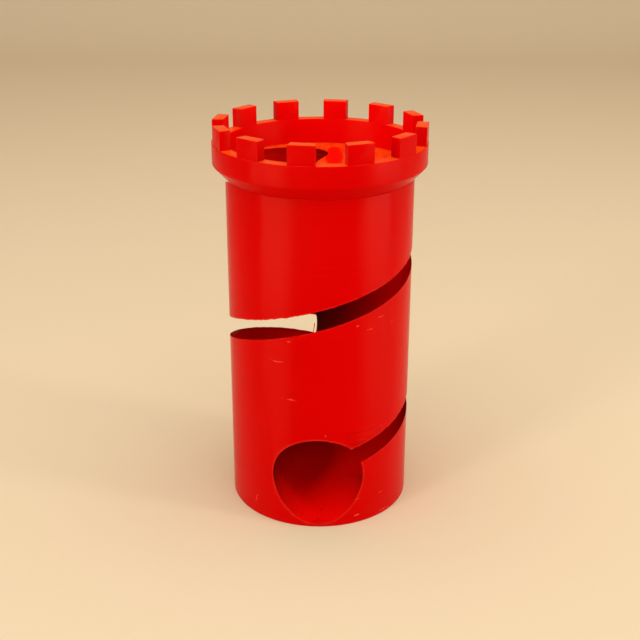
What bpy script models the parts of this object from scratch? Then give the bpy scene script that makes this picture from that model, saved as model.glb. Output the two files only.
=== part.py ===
"""Dice tower in the shape of a castle tower, with a helical tunnel through its shaft.

Lengths are metres and +Z is up. The origin is the middle of the base, and the tunnel's mouth
faces the front, -Y. Turns are angles about +Z, counted up the tunnel from its lower end.
"""

import math

import bmesh
import bpy
from mathutils import Matrix, Vector

# Shaft
SHAFT_RADIUS = 0.0300
SEAM_HEIGHT = 0.1122  # foot of the corbel, where the crown sits on the shaft
SEAT_GAP = 0.0003  # clearance between the crown and the shaft, round the pegs too

# Helical tunnel
TUNNEL_RADIUS = 0.01472
TUNNEL_PITCH = 0.0517
CORE_THICKNESS = 0.00088  # from the shaft's axis to the tunnel's wall
ELBOW_HEIGHT = 0.0217  # the path's lower end, where the mouth's straight bore begins
ELBOW_TURN = math.radians(-91.5)
MOUTH_SLOPE = math.radians(19.65)

# Crown
DECK_THICKNESS = 0.00255
CORBEL_REACH = 0.0040  # the corbel flares out at 45 degrees, so this is its height too
RING_HEIGHT = 0.0067
RING_WALL = 0.0040
MERLON_INSET = 0.0001  # from the ring's inner wall to a merlon's flat inner face
MERLON_DEPTH = 0.00355
MERLON_HEIGHT = 0.0060
MERLON_COUNT = 12
MERLON_HALF_TURN = math.radians(7.15)
FIRST_MERLON_TURN = math.radians(20.75)

# Locating pegs under the crown
PEG_RADIUS = 0.0040
PEG_LENGTH = 0.0050
PEG_CHAMFER = 0.0006
PEG_CIRCLE_RADIUS = 0.0180
PEG_TURNS = (math.radians(-75), math.radians(-15))

# Construction
CUT_OVERRUN = 0.0020  # how far a cutter passes what it cuts, and a joined shape enters its carrier
SHAFT_SIDES = 60  # of every round of the shaft and crown, and the tunnel's steps in each turn
TUNNEL_SIDES = 32
PEG_SIDES = 24
DOME_STEPS = 8
SMOOTH_ANGLE = math.radians(30)

# Sizes that follow from the others
PATH_RADIUS = TUNNEL_RADIUS + CORE_THICKNESS
DECK_HEIGHT = SEAM_HEIGHT + DECK_THICKNESS
CROWN_RADIUS = SHAFT_RADIUS + CORBEL_REACH
RING_FOOT = SEAM_HEIGHT + CORBEL_REACH
RING_TOP = RING_FOOT + RING_HEIGHT
RISE_PER_RADIAN = TUNNEL_PITCH / math.tau
PATH_SLOPE = math.atan2(RISE_PER_RADIAN, PATH_RADIUS)
STEP_TURN = math.tau / SHAFT_SIDES


def clear_scene():
    """Remove every object of the scene."""
    for obj in list(bpy.data.objects):
        bpy.data.objects.remove(obj, do_unlink=True)


def red_plastic(name):
    """The shaft's and the crown's bright red printed plastic."""
    material = bpy.data.materials.new(name)
    material.use_nodes = True
    shader = material.node_tree.nodes["Principled BSDF"]
    shader.inputs["Base Color"].default_value = (0.72, 0.004, 0.003, 1.0)
    shader.inputs["Roughness"].default_value = 0.42
    shader.inputs["Metallic"].default_value = 0.0
    return material


def new_object(name, bm, location=(0, 0, 0), material=None):
    """Turn a bmesh into an object of the scene, smooth but for its real edges."""
    bmesh.ops.recalc_face_normals(bm, faces=bm.faces)
    mesh = bpy.data.meshes.new(name)
    bm.to_mesh(mesh)
    bm.free()
    mesh.shade_smooth()
    mesh.set_sharp_from_angle(angle=SMOOTH_ANGLE)
    if material:
        mesh.materials.append(material)
    obj = bpy.data.objects.new(name, mesh)
    obj.location = location
    bpy.context.scene.collection.objects.link(obj)
    return obj


def combine(target, tool, operation):
    """Add a live Boolean to target and hide its tool."""
    modifier = target.modifiers.new(f"{operation.lower()}_{tool.name}", "BOOLEAN")
    modifier.operation = operation
    modifier.object = tool
    tool.hide_render = True
    tool.display_type = "WIRE"


def path_frame(turn):
    """Frame of the tunnel at a turn: X points outward and Z up along the tunnel."""
    outward = Vector((math.cos(turn), math.sin(turn), 0))
    around = Vector((-math.sin(turn), math.cos(turn), 0))
    along = around * math.cos(PATH_SLOPE) + Vector((0, 0, math.sin(PATH_SLOPE)))
    across = along.cross(outward)
    frame = Matrix((outward, across, along)).transposed().to_4x4()
    height = ELBOW_HEIGHT + RISE_PER_RADIAN * (turn - ELBOW_TURN)
    frame.translation = outward * PATH_RADIUS + Vector((0, 0, height))
    return frame


def add_ring(bm, frame):
    """Add an open ring of the tunnel's radius round a frame's Z, and give back its edges."""
    made = bmesh.ops.create_circle(bm, segments=TUNNEL_SIDES, radius=TUNNEL_RADIUS, matrix=frame)
    return list({edge for vert in made["verts"] for edge in vert.link_edges})


def extend_ring(bm, edges, move, scale, centre):
    """Extrude a ring of edges, then move it and scale it about its centre."""
    made = bmesh.ops.extrude_edge_only(bm, edges=edges)["geom"]
    verts = [part for part in made if isinstance(part, bmesh.types.BMVert)]
    bmesh.ops.translate(bm, verts=verts, vec=move)
    bmesh.ops.scale(bm, verts=verts, vec=(scale, scale, scale), space=Matrix.Translation(-(centre + move)))
    return [part for part in made if isinstance(part, bmesh.types.BMEdge)]


def add_dome(bm, edges, centre, direction):
    """Close a ring with a half sphere of the tunnel's radius."""
    steps = [math.pi / 2 * step / DOME_STEPS for step in range(DOME_STEPS)]
    for low, high in zip(steps, steps[1:]):
        move = direction * TUNNEL_RADIUS * (math.sin(high) - math.sin(low))
        edges = extend_ring(bm, edges, move, math.cos(high) / math.cos(low), centre)
        centre = centre + move
    bmesh.ops.contextual_create(bm, geom=edges)


def helix_cutter():
    """The helical tunnel, from just past the elbow up to its round end at the deck.

    Its rings stand half a step off the shaft's corners, so that they cross the shaft's wall at
    the corners and leave the slot with straight lips.
    """
    bottom = (math.floor(ELBOW_TURN / STEP_TURN - 1 / 2) + 1 / 2) * STEP_TURN
    steps = round((DECK_HEIGHT - ELBOW_HEIGHT) / RISE_PER_RADIAN / STEP_TURN)
    top = bottom + steps * STEP_TURN
    bm = bmesh.new()
    foot = add_ring(bm, path_frame(bottom))
    spun = bmesh.ops.spin(
        bm, geom=foot, cent=(0, 0, 0), axis=(0, 0, 1), dvec=(0, 0, RISE_PER_RADIAN * STEP_TURN),
        angle=top - bottom, steps=steps, use_duplicate=False)
    head = [part for part in spun["geom_last"] if isinstance(part, bmesh.types.BMEdge)]
    end = path_frame(top)
    add_dome(bm, head, end.translation.copy(), end.col[2].to_3d())
    bmesh.ops.contextual_create(bm, geom=[edge for edge in bm.edges if edge.is_boundary])
    return new_object("helix_cutter", bm)


def mouth_cutter():
    """The straight bore of the mouth, with a round end at the elbow, sloping down to the front."""
    forward = Vector((0, -math.cos(MOUTH_SLOPE), -math.sin(MOUTH_SLOPE)))
    side = Vector((1, 0, 0))
    elbow = path_frame(ELBOW_TURN).translation.copy()
    frame = Matrix((side, forward.cross(side), forward)).transposed().to_4x4()
    frame.translation = elbow
    reach = SHAFT_RADIUS / math.cos(MOUTH_SLOPE) + CUT_OVERRUN
    bm = bmesh.new()
    back = add_ring(bm, frame)
    front = extend_ring(bm, back, forward * reach, 1, elbow)
    bmesh.ops.contextual_create(bm, geom=front)
    add_dome(bm, [edge for edge in bm.edges if edge.is_boundary], elbow, -forward)
    return new_object("mouth_cutter", bm)


def upright_cylinder(bm, radius, low, high, centre=(0, 0), sides=SHAFT_SIDES):
    """Add a closed upright cylinder between two heights."""
    place = Matrix.Translation((*centre, (low + high) / 2))
    return bmesh.ops.create_cone(
        bm, cap_ends=True, segments=sides, radius1=radius, radius2=radius, depth=high - low, matrix=place)


def peg_centres():
    """Centres of the pegs, in the solid quarter of the shaft's top."""
    return [(PEG_CIRCLE_RADIUS * math.cos(turn), PEG_CIRCLE_RADIUS * math.sin(turn)) for turn in PEG_TURNS]


def socket_cutter():
    """The blind holes in the shaft's top that the pegs drop into."""
    bm = bmesh.new()
    low = SEAM_HEIGHT - PEG_LENGTH - SEAT_GAP
    for centre in peg_centres():
        upright_cylinder(bm, PEG_RADIUS + SEAT_GAP, low, SEAM_HEIGHT + CUT_OVERRUN, centre, PEG_SIDES)
    return new_object("socket_cutter", bm)


def tower_body(helix, mouth):
    """The round shaft, cut by the tunnel, its mouth and the peg sockets."""
    bm = bmesh.new()
    upright_cylinder(bm, SHAFT_RADIUS, 0, SEAM_HEIGHT - SEAT_GAP)
    body = new_object("tower_body", bm, material=red_plastic("tower_body"))
    for cutter in (helix, mouth, socket_cutter()):
        combine(body, cutter, "DIFFERENCE")
    return body


def crown_blank():
    """The turned corbel, ring and deck, before its merlons, pegs and entry opening."""
    outline = (
        (SHAFT_RADIUS, 0),
        (CROWN_RADIUS, CORBEL_REACH),
        (CROWN_RADIUS, RING_TOP - SEAM_HEIGHT),
        (CROWN_RADIUS - RING_WALL, RING_TOP - SEAM_HEIGHT),
        (CROWN_RADIUS - RING_WALL, DECK_THICKNESS),
    )
    bm = bmesh.new()
    verts = [bm.verts.new((radius, 0, height)) for radius, height in outline]
    edges = [bm.edges.new(pair) for pair in zip(verts, verts[1:])]
    bmesh.ops.spin(bm, geom=verts + edges, cent=(0, 0, 0), axis=(0, 0, 1), angle=math.tau, steps=SHAFT_SIDES)
    bmesh.ops.remove_doubles(bm, verts=bm.verts, dist=SEAT_GAP / 10)
    bmesh.ops.holes_fill(bm, edges=bm.edges)
    return new_object("battlement_crown", bm, (0, 0, SEAM_HEIGHT), red_plastic("battlement_crown"))


def merlon_blocks():
    """The upright blocks of the battlement, standing on the ring, their feet sunk into it.

    Each is flat inside and outside, and its two sides point at the axis.
    """
    bm = bmesh.new()
    low = RING_TOP - CUT_OVERRUN
    inner = CROWN_RADIUS - RING_WALL + MERLON_INSET
    outer = inner + MERLON_DEPTH
    spread = math.tan(MERLON_HALF_TURN)
    corners = (
        (inner, -inner * spread, low),
        (outer, -outer * spread, low),
        (outer, outer * spread, low),
        (inner, inner * spread, low),
    )
    for index in range(MERLON_COUNT):
        turn = Matrix.Rotation(FIRST_MERLON_TURN + math.tau * index / MERLON_COUNT, 4, "Z")
        foot = bm.faces.new([bm.verts.new(turn @ Vector(corner)) for corner in corners])
        raised = bmesh.ops.extrude_face_region(bm, geom=[foot])["geom"]
        verts = [part for part in raised if isinstance(part, bmesh.types.BMVert)]
        bmesh.ops.translate(bm, verts=verts, vec=(0, 0, CUT_OVERRUN + MERLON_HEIGHT))
    return new_object("merlon_blocks", bm)


def peg_blocks():
    """The two locating pegs, chamfered at their lower ends, their heads sunk into the deck."""
    bm = bmesh.new()
    low = SEAM_HEIGHT - PEG_LENGTH
    for centre in peg_centres():
        upright_cylinder(bm, PEG_RADIUS, low, SEAM_HEIGHT + DECK_THICKNESS / 2, centre, PEG_SIDES)
    middle = SEAM_HEIGHT - PEG_LENGTH / 2
    foot = [edge for edge in bm.edges if all(vert.co.z < middle for vert in edge.verts)]
    bmesh.ops.bevel(bm, geom=foot, offset=PEG_CHAMFER, segments=1, affect="EDGES")
    return new_object("peg_blocks", bm)


def battlement_crown(body, helix):
    """The crown that drops onto the shaft: corbel, ring, deck, merlons and pegs in one print."""
    crown = crown_blank()
    combine(crown, merlon_blocks(), "UNION")
    combine(crown, peg_blocks(), "UNION")
    combine(crown, helix, "DIFFERENCE")
    crown.parent = body
    return crown


clear_scene()
helix_tool = helix_cutter()
shaft = tower_body(helix_tool, mouth_cutter())
battlement_crown(shaft, helix_tool)
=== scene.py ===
"""Red printed dice tower: a round shaft with a helical tunnel and a lift-off battlement crown.

Lengths are metres and +Z is up. The base stands on z = 0 round the origin, and the tunnel's mouth
faces the front, -Y. Turns are angles about +Z, counted up the tunnel from its lower end.
"""

import logging
import math
from dataclasses import dataclass
from enum import Enum
from functools import reduce
from typing import Callable, Iterable

import bmesh
import bpy
from mathutils import Matrix, Vector, noise


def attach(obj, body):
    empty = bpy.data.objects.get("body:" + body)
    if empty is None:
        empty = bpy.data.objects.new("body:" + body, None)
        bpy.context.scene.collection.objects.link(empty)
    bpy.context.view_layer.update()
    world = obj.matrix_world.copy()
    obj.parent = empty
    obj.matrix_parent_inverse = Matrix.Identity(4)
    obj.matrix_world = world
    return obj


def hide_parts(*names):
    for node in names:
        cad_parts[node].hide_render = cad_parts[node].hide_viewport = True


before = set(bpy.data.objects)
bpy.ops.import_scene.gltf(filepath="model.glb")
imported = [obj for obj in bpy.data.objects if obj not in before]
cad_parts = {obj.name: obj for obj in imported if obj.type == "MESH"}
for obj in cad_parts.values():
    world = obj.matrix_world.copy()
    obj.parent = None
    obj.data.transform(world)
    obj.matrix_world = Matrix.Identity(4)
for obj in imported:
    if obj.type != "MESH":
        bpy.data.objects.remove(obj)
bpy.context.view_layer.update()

LOG = logging.getLogger("dice_tower")
MM = 0.001
NEAR = MM / 100  # heights and distances that differ by less count as the same
TOUCH = MM / 1000  # a point closer than this to a plane lies on it
WELD = MM / 10000  # points closer than this are merged
PRINT_SMOOTH = 32  # edges of the prints stay sharp from this angle on, in degrees
FLOOR_SMOOTH = 40  # the same for the floor
CROWN_TUNNEL_FOOT = 112.05 * MM  # the crown takes the tunnel's colours above this height only


class Body(Enum):
    """The two prints that move apart."""

    TOWER = "tower"
    CROWN = "crown"


class Joining(Enum):
    """What a second solid does to the first."""

    CUT = "DIFFERENCE"
    JOIN = "UNION"


PointTest = Callable[[Vector], bool]
EdgeTest = Callable[[Vector, Vector], bool]


def level_edge(height: float, radius: float | None = None) -> EdgeTest:
    """Make a test for the level edges at a height.

    Args:
        height: The height.
        radius: Their distance from the axis, where it matters.

    Returns:
        The test, which takes an edge's two ends.
    """
    def fits(end: Vector) -> bool:
        """Say whether one end is at the height, and as far from the axis."""
        return abs(end.z - height) < NEAR and (radius is None or abs(end.xy.length - radius) < NEAR)

    return lambda first, second: fits(first) and fits(second)


class Bench:
    """The modelling bench: every shape is made here with Blender's own editing tools."""

    @staticmethod
    def clear() -> None:
        """Leave edit mode and deselect everything."""
        if bpy.context.object and bpy.context.object.mode != "OBJECT":
            bpy.ops.object.mode_set(mode="OBJECT")
        bpy.ops.object.select_all(action="DESELECT")

    @staticmethod
    def take(obj: bpy.types.Object) -> None:
        """Make one object the only one selected, and the active one.

        Args:
            obj: The object to work on.
        """
        Bench.clear()
        bpy.context.view_layer.objects.active = obj
        obj.select_set(True)

    @staticmethod
    def named(name: str) -> bpy.types.Object:
        """Name the primitive that was just added, and put its place into its mesh.

        Args:
            name: The object's and its mesh's new name.

        Returns:
            The object, at the origin.
        """
        obj = bpy.context.active_object
        obj.name = name
        obj.data.name = name
        bpy.ops.object.transform_apply(location=True, rotation=True, scale=True)
        return obj

    @staticmethod
    def pick_points(obj: bpy.types.Object, test: PointTest) -> None:
        """Open an object for editing with the points selected that pass a test."""
        Bench.pick(obj, "VERT", lambda mesh: [(vert, test(vert.co)) for vert in mesh.verts])

    @staticmethod
    def pick_edges(obj: bpy.types.Object, test: EdgeTest) -> None:
        """Open an object for editing with the edges selected whose two ends pass a test."""
        Bench.pick(
            obj, "EDGE", lambda mesh: [(edge, test(*(end.co for end in edge.verts))) for edge in mesh.edges])

    @staticmethod
    def pick(obj: bpy.types.Object, kind: str, choose: Callable[[bmesh.types.BMesh], list]) -> None:
        """Open an object for editing and select some of its parts.

        Args:
            obj: The object to edit.
            kind: What is selected: VERT or EDGE.
            choose: Lists a mesh's parts, each with whether it is wanted.
        """
        Bench.take(obj)
        bpy.ops.object.mode_set(mode="EDIT")
        bpy.ops.mesh.select_mode(type=kind)
        bpy.ops.mesh.select_all(action="DESELECT")
        mesh = bmesh.from_edit_mesh(obj.data)
        for part, wanted in choose(mesh):
            part.select = wanted
        mesh.select_flush_mode()
        bmesh.update_edit_mesh(obj.data)

    @staticmethod
    def pull(move: Vector, scale: float = 1.0, centre: Vector | None = None) -> None:
        """Extrude what is selected, move it, and scale it about a centre that moves along.

        Args:
            move: How far the new end goes.
            scale: How much wider or narrower the new end is.
            centre: The centre before the move, where the end is scaled.
        """
        bpy.ops.mesh.extrude_region_move(TRANSFORM_OT_translate={"value": move})
        if centre is not None:
            bpy.ops.transform.resize(value=(scale, scale, scale), center_override=centre + move)

    @staticmethod
    def close() -> None:
        """Fill the selected ring and leave edit mode."""
        bpy.ops.mesh.edge_face_add()
        bpy.ops.object.mode_set(mode="OBJECT")

    @staticmethod
    def outward(obj: bpy.types.Object) -> None:
        """Merge doubles and turn every face outward.

        Args:
            obj: The closed shape to put right.
        """
        Bench.pick_points(obj, lambda point: True)
        bpy.ops.mesh.remove_doubles(threshold=WELD)
        bpy.ops.mesh.normals_make_consistent(inside=False)
        bpy.ops.object.mode_set(mode="OBJECT")

    @staticmethod
    def apply(obj: bpy.types.Object, modifier: bpy.types.Modifier) -> None:
        """Apply one of an object's modifiers."""
        Bench.take(obj)
        bpy.ops.object.modifier_apply(modifier=modifier.name)

    @staticmethod
    def combine(obj: bpy.types.Object, tool: bpy.types.Object, how: Joining) -> None:
        """Cut a second solid out of the first, or join it on.

        Args:
            obj: The solid that changes.
            tool: The second solid, which stays as it is.
            how: Whether it is cut out or joined on.
        """
        modifier = obj.modifiers.new(how.name.lower(), "BOOLEAN")
        modifier.operation = how.value
        modifier.solver = "EXACT"
        modifier.object = tool
        Bench.apply(obj, modifier)

    @staticmethod
    def bevel(obj: bpy.types.Object, test: EdgeTest, width: float, segments: int) -> None:
        """Round the edges that pass a test.

        Args:
            obj: The object to round.
            test: Says of an edge's two ends whether the edge is wanted.
            width: The width of the rounding.
            segments: How many faces it takes.
        """
        Bench.pick_edges(obj, test)
        bpy.ops.mesh.bevel(offset=width, segments=segments, profile=0.5, affect="EDGES")
        bpy.ops.object.mode_set(mode="OBJECT")

    @staticmethod
    def smooth(obj: bpy.types.Object, degrees: float) -> None:
        """Shade an object smooth but for the edges that are sharper than an angle."""
        Bench.take(obj)
        bpy.ops.object.shade_smooth_by_angle(angle=math.radians(degrees))

    @staticmethod
    def merge(obj: bpy.types.Object, others: Iterable[bpy.types.Object]) -> None:
        """Put other objects into one object's mesh.

        Args:
            obj: The object that stays.
            others: The objects that go into it.
        """
        Bench.take(obj)
        for other in others:
            other.select_set(True)
        bpy.ops.object.join()

    @staticmethod
    def discard(objects: Iterable[bpy.types.Object]) -> None:
        """Remove tools that have done their work."""
        for obj in objects:
            bpy.data.objects.remove(obj, do_unlink=True)


@dataclass(frozen=True)
class Tunnel:
    """The helical tunnel and its straight mouth, which the shaft and the crown are cut with.

    Each of the sags is a turn in degrees, and how far the lips have dropped and opened there.
    """

    radius: float = 14.72 * MM
    path_radius: float = 15.6 * MM
    pitch: float = 51.7 * MM
    elbow_height: float = 21.7 * MM
    elbow_turn: float = math.radians(-91.5)
    elbow_overlap: float = math.radians(1.0)
    mouth_slope: float = math.radians(19.65)
    top_turn: float = math.radians(557.5)
    reach: float = 20.0 * MM
    sides: int = 96
    steps: int = 260
    dome_steps: int = 16
    sag_from: float = 20.0 * MM
    sags: tuple[tuple[float, float, float], ...] = (
        (40, 0.0, 0.0),
        (90, 0.5 * MM, 0.04 * MM),
        (130, 0.65 * MM, 0.07 * MM),
        (190, 0.5 * MM, 0.07 * MM),
        (215, 0.2 * MM, 0.04 * MM),
        (260, 0.0, 0.0),
    )

    @property
    def rise(self) -> float:
        """Height gained in a radian of turn."""
        return self.pitch / math.tau

    @property
    def forward(self) -> Vector:
        """The mouth's direction, going out."""
        return Vector((0, -math.cos(self.mouth_slope), -math.sin(self.mouth_slope)))

    def place(self, turn: float) -> Vector:
        """Find the tunnel's centre at a turn."""
        height = self.elbow_height + self.rise * (turn - self.elbow_turn)
        return Vector((self.path_radius * math.cos(turn), self.path_radius * math.sin(turn), height))

    def above(self, point: Vector) -> float:
        """Measure how high a point of the wall is over the nearest turn of the tunnel's path.

        Args:
            point: The point.

        Returns:
            The height over the path, below zero where the point is under it.
        """
        turn = math.atan2(point.y, point.x)
        offset = point.z - self.elbow_height - self.rise * (turn - self.elbow_turn)
        return offset - self.pitch * round(offset / self.pitch)

    def heading(self, turn: float) -> Vector:
        """Find the tunnel's unit direction at a turn, going up."""
        along = Vector((-self.path_radius * math.sin(turn), self.path_radius * math.cos(turn), self.rise))
        return along.normalized()

    def across(self, centre: Vector, direction: Vector) -> PointTest:
        """Make a test for the points of the ring that stands across a direction."""
        return lambda p: abs((p - centre).dot(direction)) < TOUCH and (p - centre).length < self.radius + NEAR

    def ring(self, name: str, centre: Vector, direction: Vector) -> bpy.types.Object:
        """Add an open ring across a direction, to be pulled into a tube.

        Args:
            name: The new object's name.
            centre: The ring's centre.
            direction: The direction that it faces.

        Returns:
            The ring.
        """
        Bench.clear()
        turned = direction.to_track_quat("Z", "Y").to_euler()
        bpy.ops.mesh.primitive_circle_add(
            vertices=self.sides, radius=self.radius, location=centre, rotation=turned, fill_type="NOTHING")
        return Bench.named(name)

    def dome(self, centre: Vector, direction: Vector) -> None:
        """Pull the selected ring into a half sphere and close it.

        Args:
            centre: The ring's centre.
            direction: The way the dome points.
        """
        steps = [math.pi / 2 * step / self.dome_steps for step in range(self.dome_steps)]
        for low, high in zip(steps, steps[1:]):
            move = direction * self.radius * (math.sin(high) - math.sin(low))
            Bench.pull(move, math.cos(high) / math.cos(low), centre)
            centre = centre + move
        Bench.close()

    def helix(self) -> bpy.types.Object:
        """Build the helical run, with a flat foot inside the mouth's round end and a round head.

        Returns:
            The closed cutter.
        """
        foot_turn = self.elbow_turn - self.elbow_overlap
        foot, foot_way = self.place(foot_turn), self.heading(foot_turn)
        head, head_way = self.place(self.top_turn), self.heading(self.top_turn)
        tube = self.ring("helix_cutter", foot, foot_way)
        screw = tube.modifiers.new("run", "SCREW")
        screw.axis = "Z"
        screw.angle = self.top_turn - foot_turn
        screw.screw_offset = self.rise * (self.top_turn - foot_turn)
        screw.steps = screw.render_steps = self.steps
        screw.use_merge_vertices = False
        Bench.apply(tube, screw)
        Bench.pick_points(tube, self.across(foot, foot_way))
        Bench.close()
        Bench.pick_points(tube, self.across(head, head_way))
        self.dome(head, head_way)
        Bench.outward(tube)
        self.settle(tube)
        return tube

    def settle(self, tube: bpy.types.Object) -> None:
        """Let the thin lips of the slot sag and open a little where the print is weakest.

        Args:
            tube: The helical cutter.
        """
        sag_depth = self.radius + self.path_radius - self.sag_from
        for vert in tube.data.vertices:
            reach = vert.co.xy.length
            share = min(max((reach - self.sag_from) / sag_depth, 0), 1)
            along = self.elbow_turn + (vert.co.z - self.elbow_height) / self.rise
            turn = math.atan2(vert.co.y, vert.co.x)
            turn = math.degrees(turn + math.tau * round((along - turn) / math.tau))
            for low, high in zip(self.sags, self.sags[1:]):
                if low[0] <= turn < high[0]:
                    part = (turn - low[0]) / (high[0] - low[0])
                    drop, spread = (a + (b - a) * part for a, b in zip(low[1:], high[1:]))
                    vert.co.z -= drop * share
                    vert.co.xy *= 1 + spread * share / reach

    def mouth(self) -> bpy.types.Object:
        """Build the straight bore that slopes down to the front, with a round end at the elbow.

        Returns:
            The closed cutter.
        """
        elbow, inward = self.place(self.elbow_turn), -self.forward
        bore = self.ring("mouth_cutter", elbow, inward)
        Bench.pick_points(bore, lambda point: True)
        Bench.pull(self.forward * self.reach)
        Bench.close()
        Bench.pick_points(bore, self.across(elbow, inward))
        self.dome(elbow, inward)
        Bench.outward(bore)
        return bore


@dataclass(frozen=True)
class Pegs:
    """The two pegs under the crown, and their sockets in the shaft."""

    radius: float = 4.0 * MM
    length: float = 5.0 * MM
    chamfer: float = 0.6 * MM
    clearance: float = 0.3 * MM
    circle: float = 18.0 * MM
    turns: tuple[float, ...] = (math.radians(-75), math.radians(-15))
    sides: int = 48

    def centres(self) -> list[Vector]:
        """List the pegs' centres, seen from above."""
        return [Vector((math.cos(turn), math.sin(turn), 0)) * self.circle for turn in self.turns]

    def column(self, name: str, centre: Vector, radius: float, low: float, high: float) -> bpy.types.Object:
        """Build one upright round column.

        Args:
            name: The new object's name.
            centre: Its centre, seen from above.
            radius: Its radius.
            low: The height of its foot.
            high: The height of its head.

        Returns:
            The column.
        """
        Bench.clear()
        middle = centre + Vector((0, 0, (low + high) / 2))
        bpy.ops.mesh.primitive_cylinder_add(
            vertices=self.sides, radius=radius, depth=high - low, location=middle)
        return Bench.named(name)


@dataclass(frozen=True)
class Strand:
    """A hair of plastic left by the nozzle, through points given by front turn, height and reach."""

    points: tuple[tuple[float, float, float], ...]
    width: float
    taper: float
    sides: int = 8

    def build(self) -> bpy.types.Object:
        """Pull the strand from a small disc through its points.

        Returns:
            The closed strand.
        """
        places = [
            Matrix.Rotation(math.radians(turn), 3, "Z") @ Vector((0, -reach, height)) * MM
            for turn, height, reach in self.points
        ]
        Bench.clear()
        turned = (places[-1] - places[0]).to_track_quat("Z", "Y").to_euler()
        bpy.ops.mesh.primitive_circle_add(
            vertices=self.sides, radius=self.width / 2, location=places[0], rotation=turned,
            fill_type="NGON")
        strand = Bench.named("strand")
        Bench.pick_points(strand, lambda point: True)
        for start, end in zip(places, places[1:]):
            Bench.pull(end - start, self.taper, start)
        bpy.ops.object.mode_set(mode="OBJECT")
        Bench.outward(strand)
        return strand


SHAFT_STRANDS = (
    Strand(
        ((-3.0, 72.9, 29.6), (-3.1, 71.6, 29.9), (-3.6, 70.4, 30.05), (-3.8, 69.6, 29.95)), 0.3 * MM, 0.85),
    Strand(((-39.8, 72.2, 29.6), (-39.7, 71.5, 29.9), (-39.2, 71.2, 29.9)), 0.4 * MM, 0.75),
    Strand(((-37.6, 72.3, 29.6), (-37.3, 71.5, 29.9), (-36.6, 71.3, 29.9)), 0.36 * MM, 0.75),
    Strand(((5.6, 31.9, 29.7), (6.6, 31.6, 30.0), (7.6, 31.7, 30.05), (8.5, 32.1, 29.9)), 0.3 * MM, 0.9),
    Strand(((1.3, 4.6, 27.4), (1.2, 5.3, 27.6), (2.2, 5.9, 27.5), (3.1, 5.7, 27.3)), 0.26 * MM, 0.9),
    Strand(((-1.8, 1.9, 29.2), (-1.4, 2.5, 29.3), (-0.5, 2.7, 29.2)), 0.24 * MM, 0.9),
    Strand(((3.6, 34.2, 29.8), (3.5, 33.6, 30.1), (4.0, 32.9, 30.15), (4.1, 32.4, 29.95)), 0.22 * MM, 0.9),
)
CROWN_STRANDS = (
    Strand(((21.2, 128.6, 30.3), (21.2, 129.0, 30.2), (21.1, 129.35, 30.1)), 0.42 * MM, 0.6),
    Strand(((27.2, 128.6, 31.0), (27.3, 129.0, 30.9), (27.4, 129.35, 30.8)), 0.38 * MM, 0.6),
)


@dataclass
class Shaft:
    """The round shaft, the larger of the two prints."""

    tunnel: Tunnel
    pegs: Pegs
    radius: float = 30.0 * MM
    height: float = 111.9 * MM
    foot_round: float = 0.35 * MM
    rim_round: float = 0.15 * MM
    sides: int = 288
    lip_depth: float = 0.02 * MM
    lip_band: float = 5.0 * MM
    upper_fray: float = 0.26 * MM
    lower_fray: float = 0.12 * MM
    fray_scale: float = 900.0
    fray_stretch: float = 4.0
    fine_fray: float = 0.6
    fine_scale: float = 2.7
    round_steps: int = 3

    def build(self, helix: bpy.types.Object, mouth: bpy.types.Object) -> bpy.types.Object:
        """Turn the shaft and cut the tunnel, its mouth and the peg sockets.

        Args:
            helix: The helical cutter.
            mouth: The mouth's cutter.

        Returns:
            The finished shaft.
        """
        Bench.clear()
        bpy.ops.mesh.primitive_cylinder_add(
            vertices=self.sides, radius=self.radius, depth=self.height, location=(0, 0, self.height / 2))
        shaft = Bench.named("shaft")
        Bench.bevel(shaft, level_edge(0), self.foot_round, self.round_steps)
        Bench.bevel(shaft, level_edge(self.height), self.rim_round, self.round_steps)
        sockets = self.sockets()
        for cutter in (helix, mouth, *sockets):
            Bench.combine(shaft, cutter, Joining.CUT)
        Bench.discard(sockets)
        self.fray(shaft)
        Bench.merge(shaft, [strand.build() for strand in SHAFT_STRANDS])
        Bench.smooth(shaft, PRINT_SMOOTH)
        return shaft

    def fray(self, shaft: bpy.types.Object) -> None:
        """Break up the knife-thin lips of the slot and the top of the mouth, as a printer leaves them.

        Args:
            shaft: The shaft with its tunnel cut.
        """
        ends = (self.foot_round * 2, self.height - self.rim_round * 2)
        for vert in shaft.data.vertices:
            on_wall = vert.co.xy.length > self.radius - self.lip_depth
            if not on_wall or not ends[0] < vert.co.z < ends[1]:
                continue
            turn = math.atan2(vert.co.x, -vert.co.y)
            above = self.tunnel.above(vert.co)
            if abs(above) > self.lip_band:
                continue
            share = self.upper_fray if above > 0 else self.lower_fray
            where = Vector((turn * self.radius, vert.co.z / self.fray_stretch, 0)) * self.fray_scale
            fine = noise.noise(where * self.fine_scale)
            vert.co.z += share * (noise.noise(where) + self.fine_fray * fine)

    def sockets(self) -> list[bpy.types.Object]:
        """Build the cutters of the peg sockets.

        Returns:
            One cutter for each peg.
        """
        low = self.height - self.pegs.length
        wide = self.pegs.radius + self.pegs.clearance
        return [
            self.pegs.column(f"socket_{number}", centre, wide, low, self.height + self.pegs.length)
            for number, centre in enumerate(self.pegs.centres())
        ]


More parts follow.
